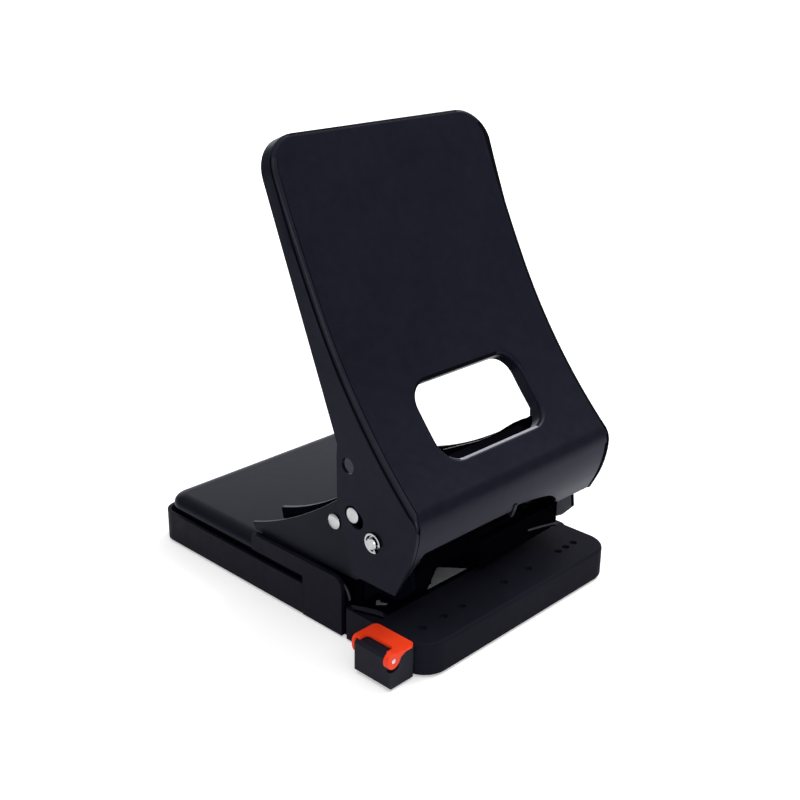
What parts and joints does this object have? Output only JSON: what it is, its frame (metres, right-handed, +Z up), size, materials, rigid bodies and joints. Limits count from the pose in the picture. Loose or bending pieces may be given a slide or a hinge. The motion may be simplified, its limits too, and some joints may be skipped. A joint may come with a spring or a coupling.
{
  "type": "two-hole paper punch",
  "caption": "Office paper punch with a tall pressed-steel lever, low base with a table, sliding paper guide with an orange flap, and a chip drawer.",
  "frame": {"origin": "middle of the base's footprint on the floor, under the rubber feet", "axes": "+Z up, the front with the table at -Y, +X to the right as seen from the front"},
  "size_m": [0.1477, 0.18, 0.2105],
  "materials": {
    "lever_coat": "satin charcoal powder coat with a fine grain",
    "cover_coat": "satin charcoal powder coat with a fine grain",
    "plate_coat": "satin black coat",
    "moulding": "matt charcoal moulding with a fine texture",
    "guide_moulding": "matt black moulding",
    "zinc_steel": "bright zinc plated steel",
    "plate_steel": "dull rolled steel",
    "punch_steel": "ground and polished steel",
    "spring_steel": "drawn spring wire",
    "ruler_plastic": "matt dark grey moulding",
    "flap_plastic": "satin orange-red moulding",
    "rubber": "matt black rubber"
  },
  "bodies": {
    "base": {"rear_cover": "cover_coat", "paper_stop": "cover_coat", "frame_left": "plate_coat", "frame_right": "plate_coat", "cheek_left": "plate_coat", "cheek_right": "plate_coat", "floor_plate": "plate_coat", "front_block": "moulding", "side_foot_left": "moulding", "side_foot_right": "moulding", "punch_guide": "guide_moulding", "pivot_washers": "guide_moulding", "die_bushes": "zinc_steel", "frame_screws": "zinc_steel", "guide_screws": "zinc_steel", "tie_rod": "zinc_steel", "plate_spacers": "zinc_steel", "pivot_pin_left": "zinc_steel", "pivot_pin_right": "zinc_steel", "e_clips": "zinc_steel", "die_plate": "plate_steel", "spring_left": "spring_steel", "spring_right": "spring_steel", "rubber_feet": "rubber"},
    "lever": {"lever_shell": "lever_coat"},
    "carriage": {"drive_bar": "zinc_steel", "punch_yoke": "plate_steel", "punch_left": "punch_steel", "punch_right": "punch_steel"},
    "tray": {"chip_tray": "moulding"},
    "paper_guide": {"guide_ruler": "ruler_plastic", "guide_end_block": "moulding", "ruler_screws": "zinc_steel", "flap_pin": "zinc_steel"},
    "flap": {"stop_flap": "flap_plastic"}
  },
  "joints": [
    {"name": "lever_swing", "type": "hinge", "parent": "base", "child": "lever", "pos_m": [0, -0.06, 0.0538], "axis": [-1, 0, 0], "range_deg": [0, 52], "stiffness_Nm_per_rad": 0.8, "springref_deg": -28.65},
    {"name": "punch_slide", "type": "slide", "parent": "base", "child": "carriage", "axis": [0, 0, -1], "range_m": [0, 0.0128], "deforming": ["spring_left", "spring_right"]},
    {"name": "tray_slide", "type": "slide", "parent": "base", "child": "tray", "axis": [0, 1, 0], "range_m": [0, 0.1]},
    {"name": "guide_slide", "type": "slide", "parent": "base", "child": "paper_guide", "axis": [-1, 0, 0], "range_m": [0, 0.1]},
    {"name": "flap_turn", "type": "hinge", "parent": "paper_guide", "child": "flap", "pos_m": [-0.077, -0.0735, 0.0138], "axis": [0, -1, 0], "range_deg": [0, 90]}
  ],
  "couplings": [
    {"joint": "punch_slide", "follows": "lever_swing", "m_per_rad": 0.01399}
  ]
}
